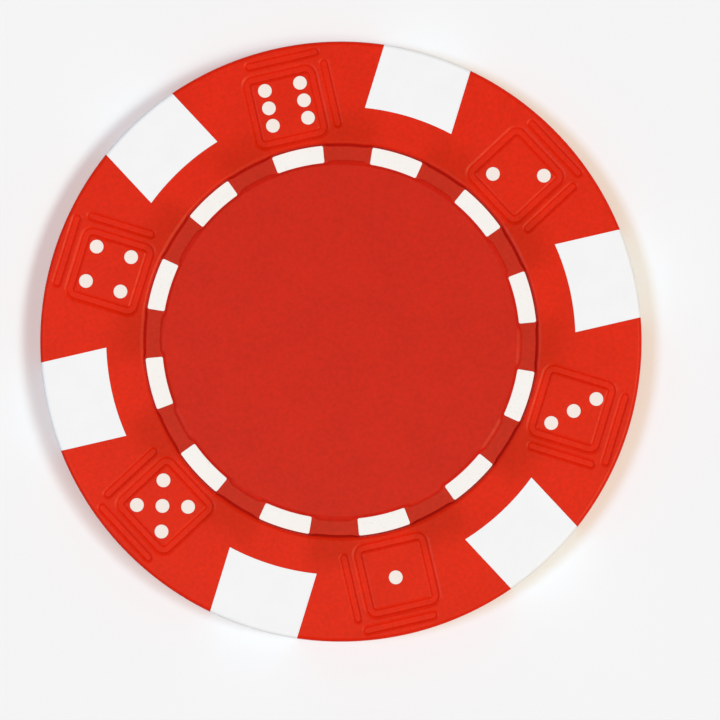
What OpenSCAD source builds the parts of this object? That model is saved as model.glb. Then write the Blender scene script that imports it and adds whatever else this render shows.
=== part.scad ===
// Poker chip with a dice pattern: two alike red mouldings closed around a steel slug.
// White inserts show through the red as edge spots, dashes and pips.
// Lengths in millimetres, angles in degrees. The chip lies on its back face, centred on Z.

/* [Chip] */
// Outside diameter
chip_d = 39; // [36:0.5:46]
// Thickness over both rims
chip_t = 3.3; // [3.2:0.1:4]
// Radius of the rim's outer corners
edge_r = 0.25; // [0.1:0.05:0.25]

/* [Centre field and channel] */
// How far the centre field lies below the rim
field_drop = 0.12; // [0.06:0.02:0.2]
// Flat rim left between the dice and the channel
die_to_channel = 0.24; // [0.12:0.02:0.4]
// Width of the channel floor
channel_w = 1.18; // [0.9:0.02:1.4]
// How far the channel floor lies below the rim
channel_drop = 0.25; // [0.21:0.01:0.32]
// Sideways run of the slopes beside the channel
channel_slope = 0.16; // [0.05:0.01:0.2]

/* [Dashes] */
// Number of dashes around the channel
dash_count = 12; // [6:6:18]
// Angle that one dash takes
dash_angle = 15.4; // [8:0.1:17]
// Red left between a dash and the channel's slopes
dash_margin = 0.03; // [0.02:0.01:0.1]
// How far a dash stands above the channel floor
dash_rise = 0.02; // [0:0.01:0.05]
// Thickness of the ring under the dashes
ring_t = 0.35; // [0.25:0.05:0.5]
// How far the ring reaches past the dashes, outward
ring_lip = 0.5; // [0.3:0.05:0.6]

/* [Edge spots] */
// Width of a spot across its parallel sides
spot_w = 5.86; // [4.5:0.02:7]
// Length of a spot from the chip's edge inward
spot_l = 4.3; // [4:0.1:4.7]
// Red left between the tip of the dovetail tongue and the slug
tongue_wall = 0.52; // [0.3:0.02:0.7]
// Width of the tongue where it leaves the spot
tongue_neck = 2.4; // [1.5:0.1:3]
// Width of the tongue at its tip
tongue_tip = 3.6; // [3.2:0.1:4.2]
// Thickness of the tongue
tongue_t = 1.2; // [0.8:0.1:1.6]

/* [Dice] */
// Pip diameter
pip_d = 0.9; // [0.6:0.05:1]
// Spacing between neighbouring rows of pips
pip_pitch = 1.17; // [1.05:0.01:1.2]
// Rim of the pips' hidden base outside the pips
base_margin = 0.03; // [0.02:0.01:0.08]
// Thickness of the pips' hidden base
base_t = 0.55; // [0.4:0.05:0.8]
// Least red between a pip and the engraved border of its die
pip_to_line = 0.07; // [0.05:0.01:0.12]
// Corner radius along the middle of the border
die_corner_r = 0.42; // [0.4:0.01:0.6]
// Shift of the die face from its pips, against the clock
die_shift_side = 0.1; // [0:0.01:0.14]
// Shift of the die face from its pips, towards the centre
die_shift_in = 0.14; // [0.1:0.01:0.18]
// Distance from the border to the bars that stand for the die's other sides
bar_gap = 0.92; // [0.8:0.02:1]
// Flat rim left between the ends of the outward bar and the rounded edge
bar_margin = 0.07; // [0.05:0.01:0.15]
// Length of the outward bar between its end centres
top_bar_l = 4.36; // [3.8:0.02:4.4]
// How far the outward bar is set along from the die's middle, clockwise
top_bar_shift = 0.47; // [0.2:0.01:0.5]
// Length of the clockwise bar between its end centres
side_bar_l = 4; // [3.6:0.05:4.2]
// How far the clockwise bar is set along from the die's middle, outward
side_bar_shift = 0.2; // [0:0.05:0.25]
// Width of an engraved line at its floor
line_floor_w = 0.44; // [0.3:0.02:0.5]
// Width of an engraved line at the surface
line_top_w = 0.64; // [0.56:0.02:0.7]
// Depth of an engraved line
line_depth = 0.1; // [0.05:0.01:0.2]

/* [Slug] */
// How far the slug reaches past the dash rings
slug_lip = 0.45; // [0.3:0.05:0.55]
// How far inside the centre field's foot the slug's raised middle ends
boss_inset = 0.6; // [0.4:0.05:1]
// Red left between the channel floor and the dash ring below it
ring_cover = 0.3; // [0.2:0.05:0.5]
// Number of keying holes
key_count = 6; // [2:2:8]
// Diameter of a keying hole
key_d = 2.4; // [1.5:0.1:3]
// Distance from the edge of the raised middle in to the keying holes' centres
key_inset = 3.5; // [2.5:0.1:5]

/* [Joint between the halves] */
// Distance from the chip's edge to the middle of the joint rib
rib_inset = 1.1; // [1:0.05:1.3]
// Width of the joint rib
rib_w = 0.5; // [0.3:0.05:0.6]
// Height of the joint rib
rib_h = 0.3; // [0.2:0.05:0.4]
// Angle that one joint rib takes
rib_angle = 28; // [16:1:32]
// Room left above the joint rib in its groove
rib_room = 0.05; // [0.02:0.01:0.1]
// Sideways clearance around every insert
fit = 0.02; // [0.01:0.005:0.04]

/* [Hidden] */
$fn = 96;
over = 0.5;
sectors = 6;
sector_angle = 360 / sectors;

half_t = chip_t / 2;
chip_r = chip_d / 2;
channel_floor = half_t - channel_drop;
field_level = half_t - field_drop;

// The dice are set from the chip's edge inward, as far out as the ends of their outward bars allow.
pip_r = pip_d / 2;
die_half = pip_pitch + pip_r + pip_to_line + max(die_shift_in, die_shift_side) + line_top_w / 2;
bar_reach = abs(top_bar_shift - die_shift_side) + top_bar_l / 2;
bar_end_r = chip_r - edge_r - bar_margin - line_top_w / 2;
die_ring_r = sqrt(pow(bar_end_r, 2) - pow(bar_reach, 2)) - bar_gap - die_half;
pip_ring_r = die_ring_r + die_shift_in;
base_side = 2 * (pip_pitch + pip_r + base_margin);
base_corner_r = pip_r + base_margin;

// The channel lies inside the dice, and the centre field inside the channel.
channel_r = die_ring_r - die_half - line_top_w / 2 - die_to_channel - channel_slope;
field_r = channel_r - channel_w;
dash_in_r = field_r + dash_margin;
dash_out_r = channel_r - dash_margin;

// The dash rings lie on the slug's edge and slip over its raised middle.
boss_r = field_r - boss_inset;
ring_in_r = boss_r + fit;
ring_out_r = dash_out_r + ring_lip;
slug_r = ring_out_r + slug_lip;
slug_half = channel_floor - ring_cover;
flange_half = slug_half - ring_t;
key_r = key_d / 2;
key_ring_r = boss_r - key_inset;

spot_in_r = chip_r - spot_l;
tongue_tip_r = slug_r + fit + tongue_wall;
tongue_half = tongue_t / 2;

rib_r = chip_r - rib_inset;

// The value of each die, counted against the clock from the first one after edge spot 1
die_values = [2, 6, 4, 5, 1, 3];
value_names = ["one", "two", "three", "four", "five", "six"];
numbers = [1:sectors];

red = [0.863, 0.184, 0.106];
white = [0.957, 0.949, 0.925];
steel = [0.66, 0.67, 0.69];

// Where each pip of a die sits, in rows and columns about the die's middle.
// Columns count clockwise and rows outward.
function pip_places(value) =
    value == 1 ? [[0, 0]] :
    value == 2 ? [[-1, -1], [1, 1]] :
    value == 3 ? [[-1, 1], [0, 0], [1, -1]] :
    value == 4 ? corner_places() :
    value == 5 ? concat(corner_places(), [[0, 0]]) :
    [for (column = [-1, 1], row = [-1, 0, 1]) [column, row]];

function corner_places() = [for (column = [-1, 1], row = [-1, 1]) [column, row]];

// The angle about the chip at which a die of this value stands
function die_angle(value) = sector_angle * (search(value, die_values)[0] + 0.5);

// Everything below is drawn with the plane between the halves at height 0.
module on_table() {
    translate([0, 0, half_t]) children();
}

// The back of the chip is its front turned over about the line through edge spot 1.
module turned_over() {
    rotate([180, 0, 0]) children();
}

// A die's own frame: X runs clockwise, Y outward, from the middle of its pips.
module at_die(value) {
    rotate([0, 0, die_angle(value) - 90])
        translate([0, pip_ring_r, 0])
            children();
}

module at_spot(number) {
    rotate([0, 0, sector_angle * (number - 1)]) children();
}

// A flat outline with round corners
module rounded_square(side, r) {
    square([side - 2 * r, side], center = true);
    square([side, side - 2 * r], center = true);
    for (x = [-1, 1], y = [-1, 1])
        translate([x * (side / 2 - r), y * (side / 2 - r)])
            circle(r);
}

// A piece of a flat ring, centred on angle 0
module ring_piece(r_in, r_out, angle, height) {
    rotate([0, 0, -angle / 2])
        rotate_extrude(angle = angle)
            translate([r_in, 0])
                square([r_out - r_in, height]);
}

// Half of the chip's outside in section, from its axis to the rounded rim
module half_section() {
    square([chip_r - edge_r, half_t]);
    square([chip_r, half_t - edge_r]);
    translate([chip_r - edge_r, half_t - edge_r])
        circle(edge_r);
}

// The channel and the centre field, as the space above them
module face_recess() {
    polygon([
        [-over, field_level],
        [field_r - channel_slope, field_level],
        [field_r, channel_floor],
        [channel_r, channel_floor],
        [channel_r + channel_slope, half_t],
        [channel_r + channel_slope, half_t + over],
        [-over, half_t + over],
    ]);
}

// The room for half of the slug and for one dash ring
module slug_room() {
    translate([-over, -over])
        square([over + slug_r + fit, over + flange_half]);
    translate([-over, -over])
        square([over + ring_out_r + fit, over + slug_half]);
}

// The red half before any insert is let in
module half_blank() {
    rotate_extrude()
        difference() {
            intersection() {
                half_section();
                square([chip_r, half_t]);
            }
            face_recess();
            slug_room();
        }
}

// Section of an engraved line, with sloping sides
module line_section() {
    polygon([
        [-line_top_w / 2, over],
        [-line_top_w / 2, 0],
        [-line_floor_w / 2, -line_depth],
        [line_floor_w / 2, -line_depth],
        [line_top_w / 2, 0],
        [line_top_w / 2, over],
    ]);
}

module line_run(length) {
    rotate([90, 0, 0])
        linear_extrude(length, center = true)
            line_section();
}

module line_corner(r) {
    rotate_extrude(angle = 90)
        translate([r, 0])
            line_section();
}

module line_end() {
    rotate_extrude()
        intersection() {
            line_section();
            translate([0, -line_depth])
                square([line_top_w, line_depth + over]);
        }
}

module engraved_bar(length) {
    line_run(length);
    for (end = [-1, 1])
        translate([0, end * length / 2, 0])
            line_end();
}

module engraved_border(side, r) {
    for (turn = [0:90:270])
        rotate([0, 0, turn]) {
            translate([side / 2, 0, 0])
                line_run(side - 2 * r);
            translate([side / 2 - r, side / 2 - r, 0])
                line_corner(r);
        }
}

// One die drawn on the rim: its face and, as two bars, the sides next to it
module engraved_die() {
    translate([-die_shift_side, -die_shift_in, half_t]) {
        engraved_border(2 * die_half, die_corner_r);
        translate([top_bar_shift, die_half + bar_gap, 0])
            rotate([0, 0, 90])
                engraved_bar(top_bar_l);
        translate([die_half + bar_gap, side_bar_shift, 0])
            engraved_bar(side_bar_l);
    }
}

// Room for an edge spot, or with no clearance its outline
module spot_outline(clearance) {
    difference() {
        translate([0, -spot_w / 2 - clearance])
            square([chip_r + over, spot_w + 2 * clearance]);
        circle(spot_in_r - clearance);
    }
}

module tongue_outline(clearance) {
    tip_x = tongue_tip_r - clearance;
    tip_y = tongue_tip / 2 + clearance;
    neck_y = tongue_neck / 2 + clearance;
    polygon([
        [tip_x, -tip_y],
        [spot_in_r, -neck_y],
        [spot_in_r + over, -neck_y],
        [spot_in_r + over, neck_y],
        [spot_in_r, neck_y],
        [tip_x, tip_y],
    ]);
}

module spot_room() {
    translate([0, 0, -over])
        linear_extrude(half_t + 2 * over)
            spot_outline(fit);
    translate([0, 0, -over])
        linear_extrude(over + tongue_half)
            tongue_outline(fit);
}

module pip_room(value) {
    translate([0, 0, -over])
        linear_extrude(over + base_t)
            rounded_square(base_side + 2 * fit, base_corner_r + fit);
    for (place = pip_places(value))
        translate(concat(pip_pitch * place, 0))
            cylinder(r = pip_r + fit, h = half_t + over);
}

module dash_room() {
    ring_piece(
        dash_in_r - fit,
        dash_out_r + fit,
        dash_angle + 2 * fit / dash_in_r * 180 / PI,
        half_t
    );
}

// Posts that fill the slug's holes and meet those of the other half
module key_posts() {
    for (turn = [0:360 / key_count:359])
        rotate([0, 0, turn])
            translate([key_ring_r, 0, 0])
                cylinder(r = key_r - fit, h = slug_half + over / 10);
}

// Ribs on every second sector stand in the grooves of the other half.
module joint_ribs() {
    for (value = [die_values[0], die_values[2], die_values[4]])
        rotate([0, 0, die_angle(value)])
            translate([0, 0, -rib_h])
                ring_piece(rib_r - rib_w / 2, rib_r + rib_w / 2, rib_angle, rib_h + over / 10);
}

module joint_grooves() {
    for (value = [die_values[1], die_values[3], die_values[5]])
        rotate([0, 0, die_angle(value)])
            translate([0, 0, -over])
                ring_piece(
                    rib_r - rib_w / 2 - fit,
                    rib_r + rib_w / 2 + fit,
                    rib_angle + 2 * fit / rib_r * 180 / PI,
                    over + rib_h + rib_room
                );
}

// One red moulding, as it lies in the upper half of the chip
module red_half() {
    difference() {
        half_blank();
        for (value = die_values)
            at_die(value) {
                engraved_die();
                pip_room(value);
            }
        for (number = numbers)
            at_spot(number) spot_room();
        for (turn = [0:360 / dash_count:359])
            rotate([0, 0, turn]) dash_room();
        joint_grooves();
    }
    key_posts();
    joint_ribs();
}

module front_half() {
    color(red) on_table() red_half();
}

module back_half() {
    color(red) on_table() turned_over() red_half();
}

// A steel disc, thinner around its edge where the dash rings lie on it
module steel_slug() {
    color(steel)
        on_table()
            difference() {
                union() {
                    cylinder(r = slug_r, h = 2 * flange_half, center = true);
                    cylinder(r = boss_r, h = 2 * slug_half, center = true);
                }
                for (turn = [0:360 / key_count:359])
                    rotate([0, 0, turn])
                        translate([key_ring_r, 0, 0])
                            cylinder(r = key_r, h = 2 * slug_half + over, center = true);
            }
}

// The dashes of one face, standing on a ring that the slug carries
module dash_ring() {
    ring_top = flange_half + ring_t;
    translate([0, 0, flange_half])
        difference() {
            cylinder(r = ring_out_r, h = ring_t);
            translate([0, 0, -over])
                cylinder(r = ring_in_r, h = ring_t + 2 * over);
        }
    for (turn = [0:360 / dash_count:359])
        rotate([0, 0, turn])
            translate([0, 0, ring_top - over / 10])
                ring_piece(
                    dash_in_r,
                    dash_out_r,
                    dash_angle,
                    channel_floor + dash_rise - ring_top + over / 10
                );
}

module front_dash_ring() {
    color(white) on_table() dash_ring();
}

module back_dash_ring() {
    color(white) on_table() turned_over() dash_ring();
}

// A white block through the whole rim, held by its tongue between the halves
module edge_spot(number) {
    color(white)
        on_table()
            at_spot(number) {
                intersection() {
                    rotate_extrude()
                        intersection() {
                            union() {
                                half_section();
                                mirror([0, 1]) half_section();
                            }
                            translate([0, -half_t])
                                square([chip_r, chip_t]);
                        }
                    translate([0, 0, -chip_t])
                        linear_extrude(2 * chip_t)
                            spot_outline(0);
                }
                linear_extrude(tongue_t, center = true)
                    tongue_outline(0);
            }
}

// The pips of one die, standing on a base that the other half's base backs up
module pips(value) {
    at_die(value) {
        linear_extrude(base_t)
            rounded_square(base_side, base_corner_r);
        for (place = pip_places(value))
            translate(concat(pip_pitch * place, 0))
                cylinder(r = pip_r, h = half_t);
    }
}

module front_pips(value) {
    color(white) on_table() pips(value);
}

module back_pips(value) {
    color(white) on_table() turned_over() pips(value);
}

front_half();
back_half();
steel_slug();
front_dash_ring();
back_dash_ring();
for (n = numbers) {
    edge_spot(n);
    front_pips(n);
    back_pips(n);
}
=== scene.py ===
"""A poker chip with a dice pattern, dressed for rendering in the frame of its solids."""
from math import asin, cos, pi, radians, sin, sqrt
from typing import NamedTuple

import bmesh
import bpy
from mathutils import Matrix, Vector
from mathutils.geometry import delaunay_2d_cdt


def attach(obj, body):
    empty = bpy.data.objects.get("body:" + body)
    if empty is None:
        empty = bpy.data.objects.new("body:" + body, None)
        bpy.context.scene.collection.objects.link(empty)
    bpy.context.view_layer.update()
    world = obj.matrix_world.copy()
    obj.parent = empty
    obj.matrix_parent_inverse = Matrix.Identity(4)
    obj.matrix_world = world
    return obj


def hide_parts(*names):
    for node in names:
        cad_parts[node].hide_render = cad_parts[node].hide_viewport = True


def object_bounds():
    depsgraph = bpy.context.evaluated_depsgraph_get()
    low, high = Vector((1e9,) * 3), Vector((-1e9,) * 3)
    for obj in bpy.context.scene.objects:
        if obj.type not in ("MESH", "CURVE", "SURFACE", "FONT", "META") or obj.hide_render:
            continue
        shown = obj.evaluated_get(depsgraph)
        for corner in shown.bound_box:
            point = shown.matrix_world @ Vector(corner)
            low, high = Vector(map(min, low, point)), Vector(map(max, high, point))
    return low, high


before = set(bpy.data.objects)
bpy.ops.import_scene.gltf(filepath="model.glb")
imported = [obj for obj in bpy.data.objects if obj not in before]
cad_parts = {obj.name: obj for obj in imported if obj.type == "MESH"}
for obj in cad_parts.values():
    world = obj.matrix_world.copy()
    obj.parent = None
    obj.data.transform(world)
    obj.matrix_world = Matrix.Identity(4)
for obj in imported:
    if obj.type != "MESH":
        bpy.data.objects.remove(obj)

for startup_name in ("Cube", "Light", "Camera"):
    startup = bpy.data.objects.get(startup_name)
    if startup:
        bpy.data.objects.remove(startup)
cad_low, cad_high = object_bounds()
MM = 0.001

# Sizes of the solids, in millimetres
CHIP_R = (cad_high.y - cad_low.y) / 2 / MM
HALF_T = (cad_high.z - cad_low.z) / 2 / MM
EDGE_R = 0.25
FIT = 0.02
FIELD_DROP = 0.12
CHANNEL_DROP = 0.25
CHANNEL_W = 1.18
CHANNEL_SLOPE = 0.16
DIE_TO_CHANNEL = 0.24
DASH_COUNT = 12
DASH_ANGLE = radians(15.4)
DASH_MARGIN = 0.03
DASH_RISE = 0.02
RING_T = 0.35
RING_LIP = 0.5
RING_COVER = 0.3
SLUG_LIP = 0.45
BOSS_INSET = 0.6
KEY_COUNT = 6
KEY_D = 2.4
KEY_INSET = 3.5
SPOT_W = 5.86
SPOT_L = 4.3
TONGUE_WALL = 0.52
TONGUE_NECK = 2.4
TONGUE_TIP = 3.6
TONGUE_T = 1.2
PIP_D = 0.9
PIP_PITCH = 1.17
PIP_TO_LINE = 0.07
BASE_MARGIN = 0.03
BASE_T = 0.55
DIE_CORNER_R = 0.42
DIE_SHIFT_SIDE = 0.1
DIE_SHIFT_IN = 0.14
BAR_GAP = 0.92
BAR_MARGIN = 0.07
TOP_BAR_L = 4.36
TOP_BAR_SHIFT = 0.47
SIDE_BAR_L = 4
SIDE_BAR_SHIFT = 0.2
LINE_TOP_W = 0.64
LINE_DEPTH = 0.1

# Seams, walls and edges where these meshes are tighter or softer than the solids
SEAM = 0.006
BORDER_TOP_W = 0.84
BAR_TOP_W = 0.74
GROOVE_FLOOR_W = 0.32
GROOVE_BEVEL = 0.56
FIELD_BEVEL = 0.7
CHANNEL_BEVEL = 0.3
STEEP_POWER = 1.5
CHANNEL_EASE = 0.25
CHANNEL_LEAN = 0.13
FIELD_EASE = CHANNEL_SLOPE
FIELD_LEAN = 0.19
GAP_START = radians(0.4)
GAP_BLEND = radians(1.6)
DASH_CORNER_R = 0.12
PIP_EDGE_R = 0.02
DASH_EDGE_R = 0.015

# How finely curves are drawn, and from which angle on an edge is sharp
CIRCLE_STEPS = 360
SECTOR_STEPS = 48
ARC_STEPS = 20
CORNER_STEPS = 8
BAR_END_STEPS = 14
SMALL_CIRCLE_STEPS = 40
ROUND_STEPS = 6
EASE_STEPS = 8
SOFT_STEPS = 3
SHARP_ANGLE = radians(40)

# Corners that agree to so many digits of a millimetre are one; the rest is for the triangulation
CORNER_DIGITS = 4
TOUCHING = 1e-7
WHOLE_HULL = 0

# The sectors of the rim from one spot to the next, and the die in each
SECTORS = 6
SECTOR_ANGLE = 2 * pi / SECTORS
DIE_VALUES = (2, 6, 4, 5, 1, 3)
VALUE_NAMES = ("one", "two", "three", "four", "five", "six")

# Sizes that follow from those above, as they do in the solids
PIP_R = PIP_D / 2
KEY_R = KEY_D / 2
TONGUE_HALF = TONGUE_T / 2
CHANNEL_FLOOR = HALF_T - CHANNEL_DROP
FIELD_LEVEL = HALF_T - FIELD_DROP
DIE_HALF = PIP_PITCH + PIP_R + PIP_TO_LINE + max(DIE_SHIFT_IN, DIE_SHIFT_SIDE) + LINE_TOP_W / 2
BAR_REACH = abs(TOP_BAR_SHIFT - DIE_SHIFT_SIDE) + TOP_BAR_L / 2
BAR_END_R = CHIP_R - EDGE_R - BAR_MARGIN - LINE_TOP_W / 2
DIE_RING_R = sqrt(BAR_END_R ** 2 - BAR_REACH ** 2) - BAR_GAP - DIE_HALF
PIP_RING_R = DIE_RING_R + DIE_SHIFT_IN
BASE_HALF = PIP_PITCH + PIP_R + BASE_MARGIN
BASE_CORNER_R = PIP_R + BASE_MARGIN
CHANNEL_R = DIE_RING_R - DIE_HALF - LINE_TOP_W / 2 - DIE_TO_CHANNEL - CHANNEL_SLOPE
FIELD_R = CHANNEL_R - CHANNEL_W
DASH_IN_R = FIELD_R + DASH_MARGIN
DASH_OUT_R = CHANNEL_R - DASH_MARGIN
BOSS_R = FIELD_R - BOSS_INSET
RING_IN_R = BOSS_R + FIT
RING_OUT_R = DASH_OUT_R + RING_LIP
SLUG_R = RING_OUT_R + SLUG_LIP
SLUG_HALF = CHANNEL_FLOOR - RING_COVER
FLANGE_HALF = SLUG_HALF - RING_T
KEY_RING_R = BOSS_R - KEY_INSET
SPOT_IN_R = CHIP_R - SPOT_L
TONGUE_TIP_R = SLUG_R + FIT + TONGUE_WALL
SPOT_LEVELS = (-HALF_T, -TONGUE_HALF, TONGUE_HALF, HALF_T)

# The picture in pixels, and the camera's turns, its distances in metres and its sensor in millimetres
PICTURE_PIXELS = 720
PIXELS_PER_MM = 15.44
CHIP_PIXEL = (340.89, 339.91)
CAMERA_ROLL = radians(-13)
CAMERA_LEAN = radians(3.5)
CAMERA_DISTANCE = 0.25
CLIP_START = 0.01
CLIP_END = 20
SENSOR_WIDTH = 36


# Outlines, as lists of points in millimetres

def steps(count):
    return [i / count for i in range(count + 1)]


def turns(count):
    """Angles spread evenly over a full turn."""
    return [2 * pi * i / count for i in range(count)]


def polar(r, angle):
    return (r * cos(angle), r * sin(angle))


def circle(r, count, middle=(0, 0)):
    points = [polar(r, angle) for angle in turns(count)]
    return [(middle[0] + x, middle[1] + y) for x, y in points]


def arc(r, start, end, count):
    return [polar(r, start + (end - start) * share) for share in steps(count)]


def rounded_square(half, r):
    points = []
    for turn, (side_x, side_y) in enumerate(((1, 1), (-1, 1), (-1, -1), (1, -1))):
        for x, y in arc(r, turn * pi / 2, (turn + 1) * pi / 2, CORNER_STEPS):
            points.append((side_x * (half - r) + x, side_y * (half - r) + y))
    return points


def bar(length, half_width):
    """A bar with round ends, along X."""
    right = arc(half_width, -pi / 2, pi / 2, BAR_END_STEPS)
    left = arc(half_width, pi / 2, 3 * pi / 2, BAR_END_STEPS)
    return [(x + length / 2, y) for x, y in right] + [(x - length / 2, y) for x, y in left]


def dash_outline(clearance):
    """A piece of a ring with rounded corners, centred on angle 0."""
    corner = DASH_CORNER_R + clearance
    r_in = DASH_IN_R - clearance + corner
    r_out = DASH_OUT_R + clearance - corner
    half_angle = DASH_ANGLE / 2 + clearance / DASH_IN_R
    points = []
    for quarter, (r, way) in enumerate(((r_out, 1), (r_in, 1), (r_in, -1), (r_out, -1))):
        reach = way * (half_angle - corner / r)
        for share in steps(CORNER_STEPS):
            slant = (quarter + share) * pi / 2
            points.append((r + corner * cos(slant), reach + corner * sin(slant) / r))
        if quarter % 2:
            points += ring_run(points[-1][0], reach)
    return [polar(r, angle) for r, angle in points]


def ring_run(r, start):
    """Points along a ring from one angle to its opposite, without the ends."""
    return [(r, start * (1 - 2 * i / ARC_STEPS)) for i in range(1, ARC_STEPS)]


def turned(outline, angle):
    return [(x * cos(angle) - y * sin(angle), x * sin(angle) + y * cos(angle)) for x, y in outline]


def shifted(outline, dx, dy):
    return [(x + dx, y + dy) for x, y in outline]


def at_die(outline, number):
    """Moves an outline from a die's own frame, X clockwise and Y outward, to its place."""
    angle = SECTOR_ANGLE * (number + 0.5) - pi / 2
    return turned(shifted(outline, 0, PIP_RING_R), angle)


def on_die_face(outline, number):
    return at_die(shifted(outline, -DIE_SHIFT_SIDE, -DIE_SHIFT_IN), number)


def corner_places():
    return [(column, row) for column in (-1, 1) for row in (-1, 1)]


def pip_places(value):
    """Columns clockwise and rows outward of each pip, about the die's middle."""
    middle = [(0, 0)]
    if value == 2:
        return [(-1, -1), (1, 1)]
    if value == 3:
        return [(-1, 1), (1, -1)] + middle
    if value == 4:
        return corner_places()
    if value == 5:
        return corner_places() + middle
    if value == 6:
        return corner_places() + [(-1, 0), (1, 0)]
    return middle


def pip_circles(value, r):
    centres = [(PIP_PITCH * column, PIP_PITCH * row) for column, row in pip_places(value)]
    return [circle(r, SMALL_CIRCLE_STEPS, centre) for centre in centres]


def round_profile():
    """Radius and height along the rounded rim, from the face down to the wall."""
    points = []
    for share in steps(ROUND_STEPS):
        slant = share * pi / 2
        points.append((CHIP_R - EDGE_R + EDGE_R * sin(slant), HALF_T - EDGE_R + EDGE_R * cos(slant)))
    return points


# Meshes, in millimetres about the plane between the halves

class Skin:
    """Collects the faces of one piece."""

    def __init__(self):
        self.mesh = bmesh.new()
        self.corners = {}

    def corner(self, x, y, h):
        key = tuple(round(part, CORNER_DIGITS) for part in (x, y, h))
        if key not in self.corners:
            self.corners[key] = self.mesh.verts.new((x, y, h))
        return self.corners[key]

    def ring(self, outline, h):
        return [self.corner(x, y, h) for x, y in outline]

    def face(self, corners, smooth=False):
        self.mesh.faces.new(corners).smooth = smooth

    def band(self, first, second, smooth=True, closed=True):
        """Joins two rows with as many corners each by four-sided faces."""
        last = len(first) if closed else len(first) - 1
        for i in range(last):
            j = (i + 1) % len(first)
            self.face((first[i], first[j], second[j], second[i]), smooth)

    def wall(self, outline, low, high, smooth=True, closed=True):
        self.band(self.ring(outline, low), self.ring(outline, high), smooth, closed)

    def terrace(self, outlines, heights):
        """Joins a row of outlines, one inside the other, each at its own height."""
        rings = [self.ring(outline, h) for outline, h in zip(outlines, heights)]
        for first, second in zip(rings, rings[1:]):
            self.band(first, second)
        return rings[-1]

    def floor(self, outer, holes, h):
        """Closes a level region between an outline and the holes in it."""
        loops = [wound(outer, 1)] + [wound(hole, -1) for hole in holes]
        points = [point for loop in loops for point in loop]
        edges = loop_edges(loops)
        flat = [Vector(point) for point in points]
        _, _, triangles, sources, _, _ = delaunay_2d_cdt(flat, edges, [], WHOLE_HULL, TOUCHING, True)
        corners = [self.corner(*points[source[0]], h) for source in sources]
        for triangle in inside_triangles(triangles, sources, edges):
            self.face([corners[i] for i in triangle])


def wound(outline, way):
    """The outline against the clock for way 1, or with it for way -1."""
    area = sum(ax * by - bx * ay for (ax, ay), (bx, by) in zip(outline, outline[1:] + outline[:1]))
    return outline if area * way > 0 else outline[::-1]


def loop_edges(loops):
    edges = []
    start = 0
    for loop in loops:
        count = len(loop)
        edges += [(start + i, start + (i + 1) % count) for i in range(count)]
        start += count
    return edges


def triangle_sides(corners):
    return list(zip(corners, corners[1:] + corners[:1]))


def inside_triangles(triangles, sources, edges):
    """The triangles on the left of the given edges, and those that join them."""
    walls = set(edges)
    named = [[sources[i][0] for i in triangle] for triangle in triangles]
    owners = {}
    for index, corners in enumerate(named):
        for side in triangle_sides(corners):
            owners[side] = index
    waiting = [owners[edge] for edge in walls if edge in owners]
    inside = set(waiting)
    while waiting:
        for start, end in triangle_sides(named[waiting.pop()]):
            beyond = owners.get((end, start))
            if (start, end) not in walls and beyond is not None and beyond not in inside:
                inside.add(beyond)
                waiting.append(beyond)
    return [triangles[index] for index in sorted(inside)]


def make_piece(name, skin, material, nodes, turn=None):
    """Makes an object of a skin, sets it on the table and lets it stand for its nodes."""
    bmesh.ops.recalc_face_normals(skin.mesh, faces=skin.mesh.faces)
    for edge in skin.mesh.edges:
        edge.smooth = edge.calc_face_angle() < SHARP_ANGLE
    mesh = bpy.data.meshes.new(name)
    skin.mesh.to_mesh(mesh)
    mesh.transform(turn or Matrix.Identity(4))
    mesh.transform(Matrix.Translation((0, 0, HALF_T)))
    mesh.transform(Matrix.Scale(MM, 4))
    mesh.materials.append(material)
    piece = bpy.data.objects.new(name, mesh)
    bpy.context.scene.collection.objects.link(piece)
    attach(piece, "root")
    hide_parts(*nodes)


# Edge spots and the notches that hold them

def spot_half_angle(half_width, r):
    return asin(half_width / r)


def spot_end_arc(r, half_width, neck_half):
    """The arc at a spot's inner end in three runs: beside the tongue, over it and beside it again."""
    outer = spot_half_angle(half_width, r)
    inner = spot_half_angle(neck_half, r)
    return (
        arc(r, -outer, -inner, CORNER_STEPS),
        arc(r, -inner, inner, CORNER_STEPS),
        arc(r, inner, outer, CORNER_STEPS),
    )


def tongue_tips(clearance):
    tip_x = TONGUE_TIP_R - clearance
    tip_y = TONGUE_TIP / 2 + clearance
    return [(tip_x, -tip_y), (tip_x, tip_y)]


def spot_arc(r, half_width):
    reach = spot_half_angle(half_width, r)
    return arc(r, -reach, reach, ARC_STEPS)


def full_rim_profile():
    upper = round_profile()
    return upper + [(r, -h) for r, h in reversed(upper)]


def add_spot_inner_end(skin, before, over, after):
    for run in (before, after):
        for low, high in zip(SPOT_LEVELS, SPOT_LEVELS[1:]):
            skin.wall(run, low, high, closed=False)
    skin.wall(over, -HALF_T, -TONGUE_HALF, closed=False)
    skin.wall(over, TONGUE_HALF, HALF_T, closed=False)


def add_tongue_walls(skin, over, tips, low):
    """The three flat walls of a dovetail tongue, from a height up to the tongue's top."""
    path = [over[0], *tips, over[-1]]
    for start, end in zip(path, path[1:]):
        skin.wall([start, end], low, TONGUE_HALF, smooth=False, closed=False)


def add_spot_tongue(skin, over):
    tips = tongue_tips(0)
    add_tongue_walls(skin, over, tips, -TONGUE_HALF)
    for h in (-TONGUE_HALF, TONGUE_HALF):
        skin.face(skin.ring(over + tips[::-1], h))


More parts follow.
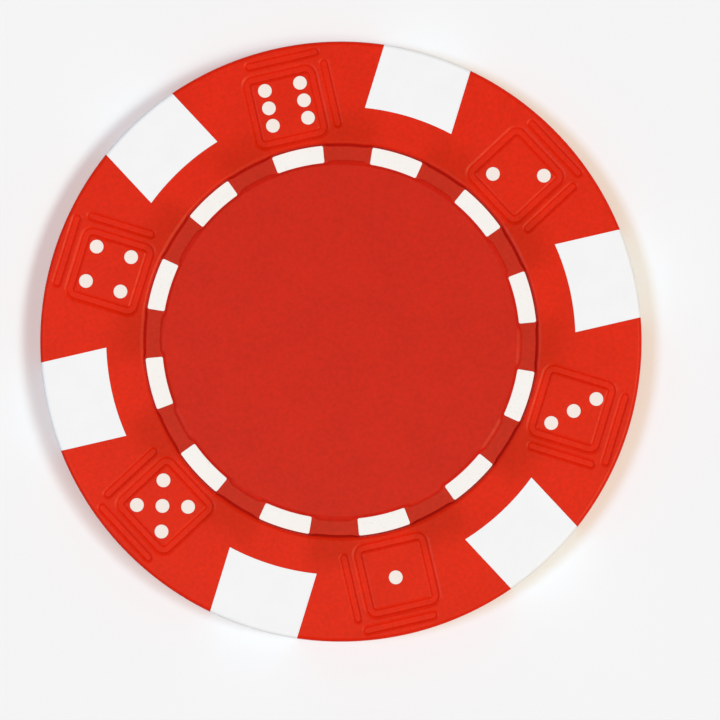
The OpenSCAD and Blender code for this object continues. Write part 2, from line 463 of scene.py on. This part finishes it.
def spot_skin():
    skin = Skin()
    half_width = SPOT_W / 2
    profile = full_rim_profile()
    rows = [skin.ring(spot_arc(r, half_width), h) for r, h in profile]
    for first, second in zip(rows, rows[1:]):
        skin.band(first, second, closed=False)
    before, over, after = spot_end_arc(SPOT_IN_R, half_width, TONGUE_NECK / 2)
    inner = before + over[1:] + after[1:]
    outer = spot_arc(profile[0][0], half_width)
    for h in (-HALF_T, HALF_T):
        skin.floor(outer + inner[::-1], [], h)
    for end in (0, -1):
        inner_edge = [skin.corner(*inner[end], h) for h in SPOT_LEVELS]
        skin.face([row[end] for row in rows] + inner_edge)
    add_spot_inner_end(skin, before, over, after)
    add_spot_tongue(skin, over)
    return skin


# Red halves

def bevelled_fall(share, bevel):
    """Falls gently over the upper half of a wall and steeply over the lower half."""
    steep = max(0, 2 * share - 1) ** STEEP_POWER
    return bevel * share + (1 - bevel) * steep


def groove_profile(top_width):
    """Offsets from an engraved line's middle and heights, from the face to the groove's floor."""
    shares = steps(EASE_STEPS)
    offsets = [(top_width + (GROOVE_FLOOR_W - top_width) * share) / 2 for share in shares]
    heights = [HALF_T - LINE_DEPTH * bevelled_fall(share, GROOVE_BEVEL) for share in shares]
    return offsets, heights


def die_square(number, grow):
    """The middle line of a die's border, moved outward by as much as grow says."""
    return on_die_face(rounded_square(DIE_HALF + grow, DIE_CORNER_R + grow), number)


def add_die_border(skin, number):
    """Engraves the square of a die; gives its outer outline and that of the face inside it."""
    offsets, heights = groove_profile(BORDER_TOP_W)
    outer = [die_square(number, offset) for offset in offsets]
    outer_floor = skin.terrace(outer, heights)
    offsets, heights = groove_profile(BAR_TOP_W)
    inner = [die_square(number, -offset) for offset in offsets]
    inner_floor = skin.terrace(inner, heights)
    skin.band(outer_floor, inner_floor, smooth=False)
    return outer[0], inner[0]


def add_die_bar(skin, number, length, upright, middle):
    """Engraves one bar beside a die and gives its outline on the face."""
    offsets, heights = groove_profile(BAR_TOP_W)
    outlines = []
    for offset in offsets:
        outline = turned(bar(length, offset), pi / 2 if upright else 0)
        outlines.append(on_die_face(shifted(outline, *middle), number))
    skin.face(skin.terrace(outlines, heights))
    return outlines[0]


def add_pip_room(skin, number, value):
    """Cuts the room for a die's pips; gives the base's outline and the holes in the face."""
    holes = [at_die(hole, number) for hole in pip_circles(value, PIP_R + SEAM)]
    base = at_die(rounded_square(BASE_HALF + FIT, BASE_CORNER_R + FIT), number)
    for hole in holes:
        skin.wall(hole, BASE_T, HALF_T)
    skin.floor(base, holes, BASE_T)
    skin.wall(base, 0, BASE_T)
    return base, holes


def add_die(skin, number, value):
    """Makes one die; gives the openings that it leaves in the face and in the underside."""
    border, island = add_die_border(skin, number)
    bar_out = DIE_HALF + BAR_GAP
    top_bar = add_die_bar(skin, number, TOP_BAR_L, False, (TOP_BAR_SHIFT, bar_out))
    side_bar = add_die_bar(skin, number, SIDE_BAR_L, True, (bar_out, SIDE_BAR_SHIFT))
    base, holes = add_pip_room(skin, number, value)
    skin.floor(island, holes, HALF_T)
    return [border, top_bar, side_bar], base


def sector_arc(r, number, half_width):
    """The rim between two notches, at radius r."""
    start = SECTOR_ANGLE * number + spot_half_angle(half_width, r)
    end = SECTOR_ANGLE * (number + 1) - spot_half_angle(half_width, r)
    return arc(r, start, end, SECTOR_STEPS)


def add_rim_edge(skin, number, half_width):
    """The rounded edge and the wall of the rim between two notches."""
    levels = round_profile() + [(CHIP_R, 0)]
    rows = [skin.ring(sector_arc(r, number, half_width), h) for r, h in levels]
    for first, second in zip(rows, rows[1:]):
        skin.band(first, second, closed=False)


def add_notch(skin, number, half_width):
    """Cuts the room for one spot; gives its outlines in the face and in the underside."""
    angle = SECTOR_ANGLE * number
    neck_half = TONGUE_NECK / 2 + FIT
    runs = spot_end_arc(SPOT_IN_R - SEAM, half_width, neck_half)
    before, over, after = [turned(run, angle) for run in runs]
    tips = turned(tongue_tips(FIT), angle)
    for run in (before, after):
        skin.wall(run, 0, TONGUE_HALF, closed=False)
        skin.wall(run, TONGUE_HALF, HALF_T, closed=False)
    skin.wall(over, TONGUE_HALF, HALF_T, closed=False)
    add_tongue_walls(skin, over, tips, 0)
    skin.face(skin.ring(over + tips[::-1], TONGUE_HALF))
    for side, inner in ((-1, before[0]), (1, after[-1])):
        add_notch_side(skin, angle, side * half_width, inner)
    return before + over[1:] + after[1:], before + tips + after


def add_notch_side(skin, angle, offset, inner):
    """One flat side of a notch, with the rounded rim at its outer end."""
    corners = [skin.corner(*inner, h) for h in (HALF_T, TONGUE_HALF, 0)]
    for r, h in [(CHIP_R, 0)] + round_profile()[::-1]:
        point = turned([(sqrt(r * r - offset * offset), offset)], angle)[0]
        corners.append(skin.corner(*point, h))
    skin.face(corners)


def add_rim(skin):
    """The rim's edge and its notches; gives the outlines of the face and of the underside."""
    half_width = SPOT_W / 2 + SEAM
    face_r = round_profile()[0][0]
    face = []
    underside = []
    for number in range(SECTORS):
        add_rim_edge(skin, number, half_width)
        upper, lower = add_notch(skin, number, half_width)
        face += upper + sector_arc(face_r, number, half_width)
        underside += lower + sector_arc(CHIP_R, number, half_width)
    return face, underside


def gap_share(angle):
    """0 along a dash and 1 in the gap between two dashes."""
    pitch = 2 * pi / DASH_COUNT
    off_dash = abs((angle + pitch / 2) % pitch - pitch / 2)
    return min(1, max(0, (off_dash - DASH_ANGLE / 2 - GAP_START) / GAP_BLEND))


def waved_circle(at_dash, in_gap):
    """A circle with one radius along the dashes and another in the gaps."""
    angles = turns(CIRCLE_STEPS)
    return [polar(at_dash + (in_gap - at_dash) * gap_share(angle), angle) for angle in angles]


def slope_rows(top, foot, top_h, bevel):
    """Rows down to the channel's floor; top and foot are radii along the dashes and in the gaps."""
    rows = []
    heights = []
    for share in steps(EASE_STEPS):
        radii = [upper + (lower - upper) * share for upper, lower in zip(top, foot)]
        rows.append(waved_circle(*radii))
        heights.append(top_h + (CHANNEL_FLOOR - top_h) * bevelled_fall(share, bevel))
    return rows, heights


def add_channel(skin):
    """The channel and the centre field; gives the channel's outline and the holes for the dashes."""
    outer_top = (CHANNEL_R + CHANNEL_EASE, CHANNEL_R + CHANNEL_EASE)
    outer_foot = (CHANNEL_R, CHANNEL_R - CHANNEL_LEAN)
    inner_top = (FIELD_R - FIELD_EASE, FIELD_R - FIELD_EASE)
    inner_foot = (FIELD_R, FIELD_R + FIELD_LEAN)
    outer_rows, outer_heights = slope_rows(outer_top, outer_foot, HALF_T, CHANNEL_BEVEL)
    inner_rows, inner_heights = slope_rows(inner_top, inner_foot, FIELD_LEVEL, FIELD_BEVEL)
    skin.terrace(outer_rows, outer_heights)
    skin.terrace(inner_rows, inner_heights)
    holes = [turned(dash_outline(SEAM), angle) for angle in turns(DASH_COUNT)]
    skin.floor(outer_rows[-1], holes + [inner_rows[-1]], CHANNEL_FLOOR)
    skin.floor(inner_rows[0], [], FIELD_LEVEL)
    for hole in holes:
        skin.wall(hole, SLUG_HALF, CHANNEL_FLOOR)
    return outer_rows[0], holes


def add_slug_room(skin, dash_holes):
    """The room for the slug and the dash ring, with the posts; gives its outline in the underside."""
    slug_edge = circle(SLUG_R + FIT, CIRCLE_STEPS)
    ring_edge = circle(RING_OUT_R + FIT, CIRCLE_STEPS)
    skin.wall(slug_edge, 0, FLANGE_HALF)
    skin.band(skin.ring(slug_edge, FLANGE_HALF), skin.ring(ring_edge, FLANGE_HALF), smooth=False)
    skin.wall(ring_edge, FLANGE_HALF, SLUG_HALF)
    middles = [polar(KEY_RING_R, angle) for angle in turns(KEY_COUNT)]
    posts = [circle(KEY_R - FIT, SMALL_CIRCLE_STEPS, middle) for middle in middles]
    for post in posts:
        skin.wall(post, 0, SLUG_HALF)
        skin.face(skin.ring(post, 0))
    skin.floor(ring_edge, dash_holes + posts, SLUG_HALF)
    return slug_edge


def half_skin():
    skin = Skin()
    face, underside = add_rim(skin)
    face_holes = []
    underside_holes = []
    for number, value in enumerate(DIE_VALUES):
        openings, base = add_die(skin, number, value)
        face_holes += openings
        underside_holes.append(base)
    channel, dash_holes = add_channel(skin)
    slug_edge = add_slug_room(skin, dash_holes)
    skin.floor(face, face_holes + [channel], HALF_T)
    skin.floor(underside, underside_holes + [slug_edge], 0)
    return skin


# White inserts

def add_soft_top(skin, outlines_at, top, edge_r):
    """Rounds the upper edge of a wall that ends below it and closes its top."""
    shares = steps(SOFT_STEPS)
    outlines = [outlines_at(-edge_r * (1 - cos(share * pi / 2))) for share in shares]
    heights = [top - edge_r + edge_r * sin(share * pi / 2) for share in shares]
    skin.terrace(outlines, heights)
    skin.floor(outlines[-1], [], top)


def dash_ring_skin():
    skin = Skin()
    inner = circle(RING_IN_R, CIRCLE_STEPS)
    outer = circle(RING_OUT_R, CIRCLE_STEPS)
    skin.wall(inner, FLANGE_HALF, SLUG_HALF)
    skin.wall(outer, FLANGE_HALF, SLUG_HALF)
    skin.band(skin.ring(inner, FLANGE_HALF), skin.ring(outer, FLANGE_HALF), smooth=False)
    top = CHANNEL_FLOOR + DASH_RISE
    feet = []
    for angle in turns(DASH_COUNT):
        foot = turned(dash_outline(0), angle)
        feet.append(foot)
        skin.wall(foot, SLUG_HALF, top - DASH_EDGE_R)
        add_soft_top(skin, lambda grow: turned(dash_outline(grow), angle), top, DASH_EDGE_R)
    skin.floor(outer, feet + [inner], SLUG_HALF)
    return skin


def pips_skin(number, value):
    skin = Skin()
    base = at_die(rounded_square(BASE_HALF, BASE_CORNER_R), number)
    skin.wall(base, 0, BASE_T)
    skin.floor(base, [], 0)
    feet = [at_die(foot, number) for foot in pip_circles(value, PIP_R)]
    skin.floor(base, feet, BASE_T)
    for i, foot in enumerate(feet):
        skin.wall(foot, BASE_T, HALF_T - PIP_EDGE_R)

        def pip_at(grow):
            return at_die(pip_circles(value, PIP_R + grow)[i], number)

        add_soft_top(skin, pip_at, HALF_T, PIP_EDGE_R)
    return skin


# Materials

# Sockets of the node that mixes two colours
MIX_SHARE = 0
MIX_FIRST = 6
MIX_SECOND = 7
MIX_RESULT = 2

NOISE_ROUGHNESS = 0.5


class Mottle(NamedTuple):
    """Noise, the part of its range that counts, and the values that this part is spread over."""
    per_mm: float
    detail: float
    low: float
    high: float
    noise_low: float = 0.3
    noise_high: float = 0.7
    roughness: float = NOISE_ROUGHNESS


class Grain(NamedTuple):
    """Relief too fine to be modelled: its noise, its height in millimetres and its strength."""
    per_mm: float
    detail: float
    height: float
    strength: float


class Shader:
    """A material being wired up."""

    def __init__(self, name):
        self.material = bpy.data.materials.new(name)
        self.material.use_nodes = True
        self.tree = self.material.node_tree
        self.surface = self.tree.nodes["Principled BSDF"]
        self.place = self.node("ShaderNodeTexCoord").outputs["Object"]

    def node(self, kind, **settings):
        made = self.tree.nodes.new(kind)
        for key, value in settings.items():
            setattr(made, key, value)
        return made

    def link(self, source, target):
        self.tree.links.new(source, target)

    def noise(self, per_mm, detail, roughness=NOISE_ROUGHNESS):
        made = self.node("ShaderNodeTexNoise")
        made.inputs["Scale"].default_value = per_mm / MM
        made.inputs["Detail"].default_value = detail
        made.inputs["Roughness"].default_value = roughness
        self.link(self.place, made.inputs["Vector"])
        return made.outputs["Fac"]

    def mottle(self, look):
        noise = self.noise(look.per_mm, look.detail, look.roughness)
        return self.spread(noise, look.noise_low, look.noise_high, look.low, look.high)

    def radius(self):
        """Distance from the chip's axis."""
        flat = self.node("ShaderNodeVectorMath", operation="MULTIPLY")
        flat.inputs[1].default_value = (1, 1, 0)
        self.link(self.place, flat.inputs[0])
        length = self.node("ShaderNodeVectorMath", operation="LENGTH")
        self.link(flat.outputs["Vector"], length.inputs[0])
        return length.outputs["Value"]

    def angle_wave(self, count):
        """A wave around the chip's axis, 1 at angle 0 and at as many places in all as counted."""
        parts = self.node("ShaderNodeSeparateXYZ")
        self.link(self.place, parts.inputs[0])
        angle = self.node("ShaderNodeMath", operation="ARCTAN2")
        self.link(parts.outputs["Y"], angle.inputs[0])
        self.link(parts.outputs["X"], angle.inputs[1])
        faster = self.node("ShaderNodeMath", operation="MULTIPLY")
        faster.inputs[1].default_value = count
        self.link(angle.outputs[0], faster.inputs[0])
        wave = self.node("ShaderNodeMath", operation="COSINE")
        self.link(faster.outputs[0], wave.inputs[0])
        return wave.outputs[0]

    def product(self, first, second):
        made = self.node("ShaderNodeMath", operation="MULTIPLY")
        self.link(first, made.inputs[0])
        self.link(second, made.inputs[1])
        return made.outputs[0]

    def spread(self, value, low, high, to_low, to_high, soft=False):
        made = self.node("ShaderNodeMapRange", interpolation_type="SMOOTHSTEP" if soft else "LINEAR")
        limits = {"From Min": low, "From Max": high, "To Min": to_low, "To Max": to_high}
        for key, number in limits.items():
            made.inputs[key].default_value = number
        self.link(value, made.inputs["Value"])
        return made.outputs["Result"]

    def mix(self, share, first, second, blend="MIX"):
        """Mixes two colours; each is a colour or the output of a node."""
        made = self.node("ShaderNodeMix", data_type="RGBA", blend_type=blend)
        for index, value in ((MIX_SHARE, share), (MIX_FIRST, first), (MIX_SECOND, second)):
            socket = made.inputs[index]
            if isinstance(value, bpy.types.NodeSocket):
                self.link(value, socket)
            else:
                socket.default_value = value if isinstance(value, float) else (*value, 1)
        return made.outputs[MIX_RESULT]

    def scaled(self, colour, factor):
        return self.mix(1.0, colour, factor, "MULTIPLY")

    def dress(self, colour, roughness, grain):
        """Gives the surface its colour, its mottled roughness and its fine relief."""
        self.link(colour, self.surface.inputs["Base Color"])
        self.link(self.mottle(roughness), self.surface.inputs["Roughness"])
        self.bump(grain)

    def bump(self, grain):
        made = self.node("ShaderNodeBump")
        made.inputs["Strength"].default_value = grain.strength
        made.inputs["Distance"].default_value = grain.height * MM
        self.link(self.noise(grain.per_mm, grain.detail), made.inputs["Height"])
        self.link(made.outputs["Normal"], self.surface.inputs["Normal"])


# The reds, some of them painted shade, and the radii in millimetres where one gives way to the next
RED_RIM = (0.712, 0.0145, 0.0025)
RED_FIELD = (0.59, 0.0132, 0.005)
# The channel's red is darker and greyer than the field's: painted shade in the recess, with a painted
# veil of reflection in its green and blue
RED_CHANNEL_SHADED = (0.53, 0.0172, 0.0065)
# Painted shade: the darker red that the rim takes beside the channel, between the dashes
RED_RIM_SHADE = (0.59, 0.0117, 0.0004)
# Painted shade: a thin dark red line in the crease at the foot of the channel's outer wall
RED_CREASE_SHADE = (0.42, 0.001, 0.0001)
FIELD_RED_END = FIELD_R + 0.06
CHANNEL_RED_START = FIELD_R + 0.16
CHANNEL_RED_END = CHANNEL_R
RIM_RED_START = CHANNEL_R + 0.1
# Radius within which the painted shade on the rim is at its full strength
RIM_SHADE_R = 13.5
CREASE_R = 12.74
CREASE_HALF_W = 0.15
CREASE_SHADE_SHARE = 0.75
DASH_WAVE_EDGE = 0.75

# How the plastics and the steel look close up
PLASTIC_SPECULAR = 0.145
WARM_SHINE = (1, 0.8, 0.5)
RED_CLOUD = Mottle(per_mm=0.35, detail=3.0, low=0.96, high=1.03)
RED_BLOTCH = Mottle(per_mm=4.0, detail=3.0, low=0.93, high=1.07)
RED_ROUGHNESS = Mottle(per_mm=1.6, detail=3.0, low=0.36, high=0.42)
RED_GRAIN = Grain(per_mm=14.0, detail=3.0, height=0.004, strength=0.35)
WHITE_SPOT = (0.895, 0.895, 0.895)
WHITE_DASH = (0.905, 0.880, 0.840)
WHITE_PIP = (0.90, 0.80, 0.735)
SPECK = (0.72, 0.70, 0.67)
SPOT_SPECKS = 0.0
DASH_SPECKS = 0.7
PIP_SPECKS = 0.3
WHITE_CLOUD = Mottle(per_mm=0.6, detail=2.0, low=0.985, high=1.005)
WHITE_ROUGHNESS = Mottle(per_mm=2.0, detail=3.0, low=0.38, high=0.5)
WHITE_GRAIN = Grain(per_mm=12.0, detail=3.0, height=0.003, strength=0.3)
STEEL_DARK = (0.36, 0.37, 0.39)
STEEL_LIGHT = (0.46, 0.47, 0.49)
STEEL_SHADE = Mottle(per_mm=1.2, detail=4.0, low=0.0, high=1.0)
STEEL_ROUGHNESS = Mottle(per_mm=6.0, detail=4.0, low=0.28, high=0.45)
STEEL_GRAIN = Grain(per_mm=20.0, detail=2.0, height=0.003, strength=0.2)


def rim_red_with_shade(shader, radius):
    """The rim's red, darkened by painted shade beside the channel wherever it does not lie next to a
    white dash.
    """
    wave = shader.angle_wave(DASH_COUNT)
    shade_between_dashes = shader.spread(wave, -DASH_WAVE_EDGE, DASH_WAVE_EDGE, 1, 0, soft=True)
    shade_near_channel = shader.spread(radius, RIM_SHADE_R * MM, PIP_RING_R * MM, 1, 0, soft=True)
    return shader.mix(shader.product(shade_between_dashes, shade_near_channel), RED_RIM, RED_RIM_SHADE)


def crease_shade_share(shader, radius):
    """How much painted shade darkens the crease at the foot of the channel's outer wall."""
    inner, middle, outer = [(CREASE_R + way * CREASE_HALF_W) * MM for way in (-1, 0, 1)]
    rise = shader.spread(radius, inner, middle, 0, 1, soft=True)
    fall = shader.spread(radius, middle, outer, CREASE_SHADE_SHARE, 0, soft=True)
    return shader.product(rise, fall)


def red_plastic():
    shader = Shader("red_plastic")
    radius = shader.radius()
    beyond_field = shader.spread(radius, FIELD_RED_END * MM, CHANNEL_RED_START * MM, 0, 1)
    beyond_channel = shader.spread(radius, CHANNEL_RED_END * MM, RIM_RED_START * MM, 0, 1)
    zones = shader.mix(beyond_field, RED_FIELD, RED_CHANNEL_SHADED)
    # The rim's red carries painted shade beside the channel
    zones = shader.mix(beyond_channel, zones, rim_red_with_shade(shader, radius))
    # Painted shade in the crease at the foot of the channel's outer wall
    zones = shader.mix(crease_shade_share(shader, radius), zones, RED_CREASE_SHADE)
    clouded = shader.scaled(zones, shader.mottle(RED_CLOUD))
    shader.dress(shader.scaled(clouded, shader.mottle(RED_BLOTCH)), RED_ROUGHNESS, RED_GRAIN)
    shader.surface.inputs["Specular IOR Level"].default_value = PLASTIC_SPECULAR
    shader.surface.inputs["Specular Tint"].default_value = (*WARM_SHINE, 1)
    return shader.material


def specks(share):
    """Small rare specks; share is how much of their own colour they show."""
    return Mottle(
        per_mm=5.0, detail=4.0, low=0.0, high=share, noise_low=0.60, noise_high=0.72, roughness=0.65
    )


def white_plastic(name, colour, speck_share):
    shader = Shader(name)
    speckled = shader.mix(shader.mottle(specks(speck_share)), colour, SPECK)
    shader.dress(shader.scaled(speckled, shader.mottle(WHITE_CLOUD)), WHITE_ROUGHNESS, WHITE_GRAIN)
    shader.surface.inputs["Specular IOR Level"].default_value = PLASTIC_SPECULAR
    return shader.material


def plain_steel():
    shader = Shader("steel")
    shaded = shader.mix(shader.mottle(STEEL_SHADE), STEEL_DARK, STEEL_LIGHT)
    shader.dress(shaded, STEEL_ROUGHNESS, STEEL_GRAIN)
    shader.surface.inputs["Metallic"].default_value = 1.0
    return shader.material


# The chip

def turn_over():
    return Matrix.Rotation(pi, 4, "X")


def make_chip():
    red = red_plastic()
    spot_white = white_plastic("white_spot_plastic", WHITE_SPOT, SPOT_SPECKS)
    dash_white = white_plastic("white_dash_plastic", WHITE_DASH, DASH_SPECKS)
    pip_white = white_plastic("white_pip_plastic", WHITE_PIP, PIP_SPECKS)
    for side, turn in (("front", None), ("back", turn_over())):
        make_piece(f"red_{side}", half_skin(), red, [f"{side}_half"], turn)
        make_piece(
            f"dashes_{side}", dash_ring_skin(), dash_white, [f"{side}_dash_ring"], turn
        )
        for number, value in enumerate(DIE_VALUES):
            word = VALUE_NAMES[value - 1]
            skin = pips_skin(number, value)
            node = f"{side}_pips_{word}"
            make_piece(f"pips_{side}_{word}", skin, pip_white, [node], turn)
    for number in range(SECTORS):
        turn = Matrix.Rotation(SECTOR_ANGLE * number, 4, "Z")
        node = f"edge_spot_{number + 1}"
        make_piece(f"spot_{number + 1}", spot_skin(), spot_white, [node], turn)
    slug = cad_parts["steel_slug"]
    steel = plain_steel()
    for material_slot in slug.material_slots:
        material_slot.material = steel


# Floor, light and camera

# How bright the background looks, where 1 is white
BACKGROUND = 0.905

# The floor in metres, and its colours where it is seen and where it throws light back
FLOOR_HALF = 20.0
FLOOR_HEIGHT = -0.00001
FLOOR_LIT = (0.50, 0.70, 0.81)
FLOOR_BOUNCE = (0.66, 0.66, 0.66)
FLOOR_TONE = Mottle(per_mm=0.02, detail=1.0, low=0.995, high=1.005, noise_low=0.0, noise_high=1.0)

# The dome: the light that it gives, how dim it looks overhead, and the heights between which it dims
AMBIENT = (0.129, 0.13, 0.119)
OVERHEAD = 0.12
DOME_LOW = 0.05
DOME_HIGH = 0.6


class Lamp(NamedTuple):
    """A soft lamp with its angles in degrees; colour is its share of the light on a level face."""
    name: str
    azimuth: float
    from_top: float
    width: float
    colour: tuple


# Azimuths are counted in the picture, against the clock from its right
LAMPS = (
    Lamp("right_light", azimuth=-8, from_top=26, width=11, colour=(0.33, 0.32, 0.30)),
    Lamp("lower_right_light", azimuth=-31, from_top=25.5, width=12, colour=(0.219, 0.184, 0.142)),
    Lamp("left_light", azimuth=188, from_top=22.7, width=13, colour=(0.231, 0.295, 0.388)),
    Lamp("sheen_light", azimuth=235, from_top=9, width=18, colour=(0.10, 0.08, 0.06)),
)


def seen_directly(tree):
    """One for rays from the camera, a mirror or a glass, and zero for scattered light."""
    path = tree.nodes.new("ShaderNodeLightPath")
    seen = path.outputs["Is Camera Ray"]
    for kind in ("Is Glossy Ray", "Is Transmission Ray"):
        both = tree.nodes.new("ShaderNodeMath")
        both.operation = "ADD"
        both.use_clamp = True
        tree.links.new(seen, both.inputs[0])
        tree.links.new(path.outputs[kind], both.inputs[1])
        seen = both.outputs[0]
    return seen


def make_floor():
    mesh = bpy.data.meshes.new("floor")
    sides = ((-1, -1), (1, -1), (1, 1), (-1, 1))
    corners = [(x * FLOOR_HALF, y * FLOOR_HALF, FLOOR_HEIGHT) for x, y in sides]
    mesh.from_pydata(corners, [], [(0, 1, 2, 3)])
    shader = Shader("floor")
    seen = seen_directly(shader.tree)
    paint = shader.scaled(shader.mix(seen, FLOOR_BOUNCE, FLOOR_LIT), shader.mottle(FLOOR_TONE))
    shader.link(paint, shader.surface.inputs["Base Color"])
    shader.surface.inputs["Roughness"].default_value = 1.0
    shader.surface.inputs["Specular IOR Level"].default_value = 0.0
    glow = [BACKGROUND - part for part in FLOOR_LIT]
    shader.surface.inputs["Emission Color"].default_value = (*glow, 1)
    shader.link(seen, shader.surface.inputs["Emission Strength"])
    mesh.materials.append(shader.material)
    floor = bpy.data.objects.new("floor", mesh)
    bpy.context.scene.collection.objects.link(floor)


def make_world():
    """A dome that looks pale at the horizon and dim overhead, and gives even light."""
    world = bpy.data.worlds.new("studio")
    bpy.context.scene.world = world
    world.use_nodes = True
    tree = world.node_tree
    place = tree.nodes.new("ShaderNodeTexCoord")
    parts = tree.nodes.new("ShaderNodeSeparateXYZ")
    tree.links.new(place.outputs["Generated"], parts.inputs[0])
    dome = tree.nodes.new("ShaderNodeMapRange")
    dome.interpolation_type = "SMOOTHSTEP"
    dome.inputs["From Min"].default_value = DOME_LOW
    dome.inputs["From Max"].default_value = DOME_HIGH
    dome.inputs["To Min"].default_value = BACKGROUND
    dome.inputs["To Max"].default_value = OVERHEAD
    tree.links.new(parts.outputs["Z"], dome.inputs["Value"])
    choice = tree.nodes.new("ShaderNodeMix")
    choice.data_type = "RGBA"
    choice.inputs[MIX_FIRST].default_value = (*AMBIENT, 1)
    tree.links.new(seen_directly(tree), choice.inputs[MIX_SHARE])
    tree.links.new(dome.outputs["Result"], choice.inputs[MIX_SECOND])
    tree.links.new(choice.outputs[MIX_RESULT], tree.nodes["Background"].inputs["Color"])


def make_sun(lamp):
    around = radians(lamp.azimuth) + CAMERA_ROLL
    down = radians(lamp.from_top)
    light = bpy.data.lights.new(lamp.name, "SUN")
    strongest = max(lamp.colour)
    light.energy = strongest * pi / cos(down)
    light.color = [part / strongest for part in lamp.colour]
    light.angle = radians(lamp.width)
    sun = bpy.data.objects.new(lamp.name, light)
    towards = Vector((sin(down) * cos(around), sin(down) * sin(around), cos(down)))
    sun.rotation_mode = "QUATERNION"
    sun.rotation_quaternion = towards.to_track_quat("Z", "Y")
    bpy.context.scene.collection.objects.link(sun)


def make_lights():
    for lamp in LAMPS:
        make_sun(lamp)
    make_world()


def make_camera():
    camera = bpy.data.cameras.new("camera")
    camera.sensor_width = SENSOR_WIDTH
    view_width = PICTURE_PIXELS / PIXELS_PER_MM * MM
    camera.lens = SENSOR_WIDTH * CAMERA_DISTANCE / view_width
    camera.clip_start = CLIP_START
    camera.clip_end = CLIP_END
    seat = bpy.data.objects.new("camera", camera)
    right = (PICTURE_PIXELS / 2 - CHIP_PIXEL[0]) / PIXELS_PER_MM * MM
    up = (CHIP_PIXEL[1] - PICTURE_PIXELS / 2) / PIXELS_PER_MM * MM
    seat.rotation_euler = (CAMERA_LEAN, 0, CAMERA_ROLL)
    facing = seat.rotation_euler.to_matrix()
    seat.location = Vector((0, 0, 2 * HALF_T * MM)) + facing @ Vector((right, up, CAMERA_DISTANCE))
    bpy.context.scene.collection.objects.link(seat)
    bpy.context.scene.camera = seat


make_chip()
make_floor()
make_lights()
make_camera()
bpy.context.scene.view_settings.view_transform = "Standard"
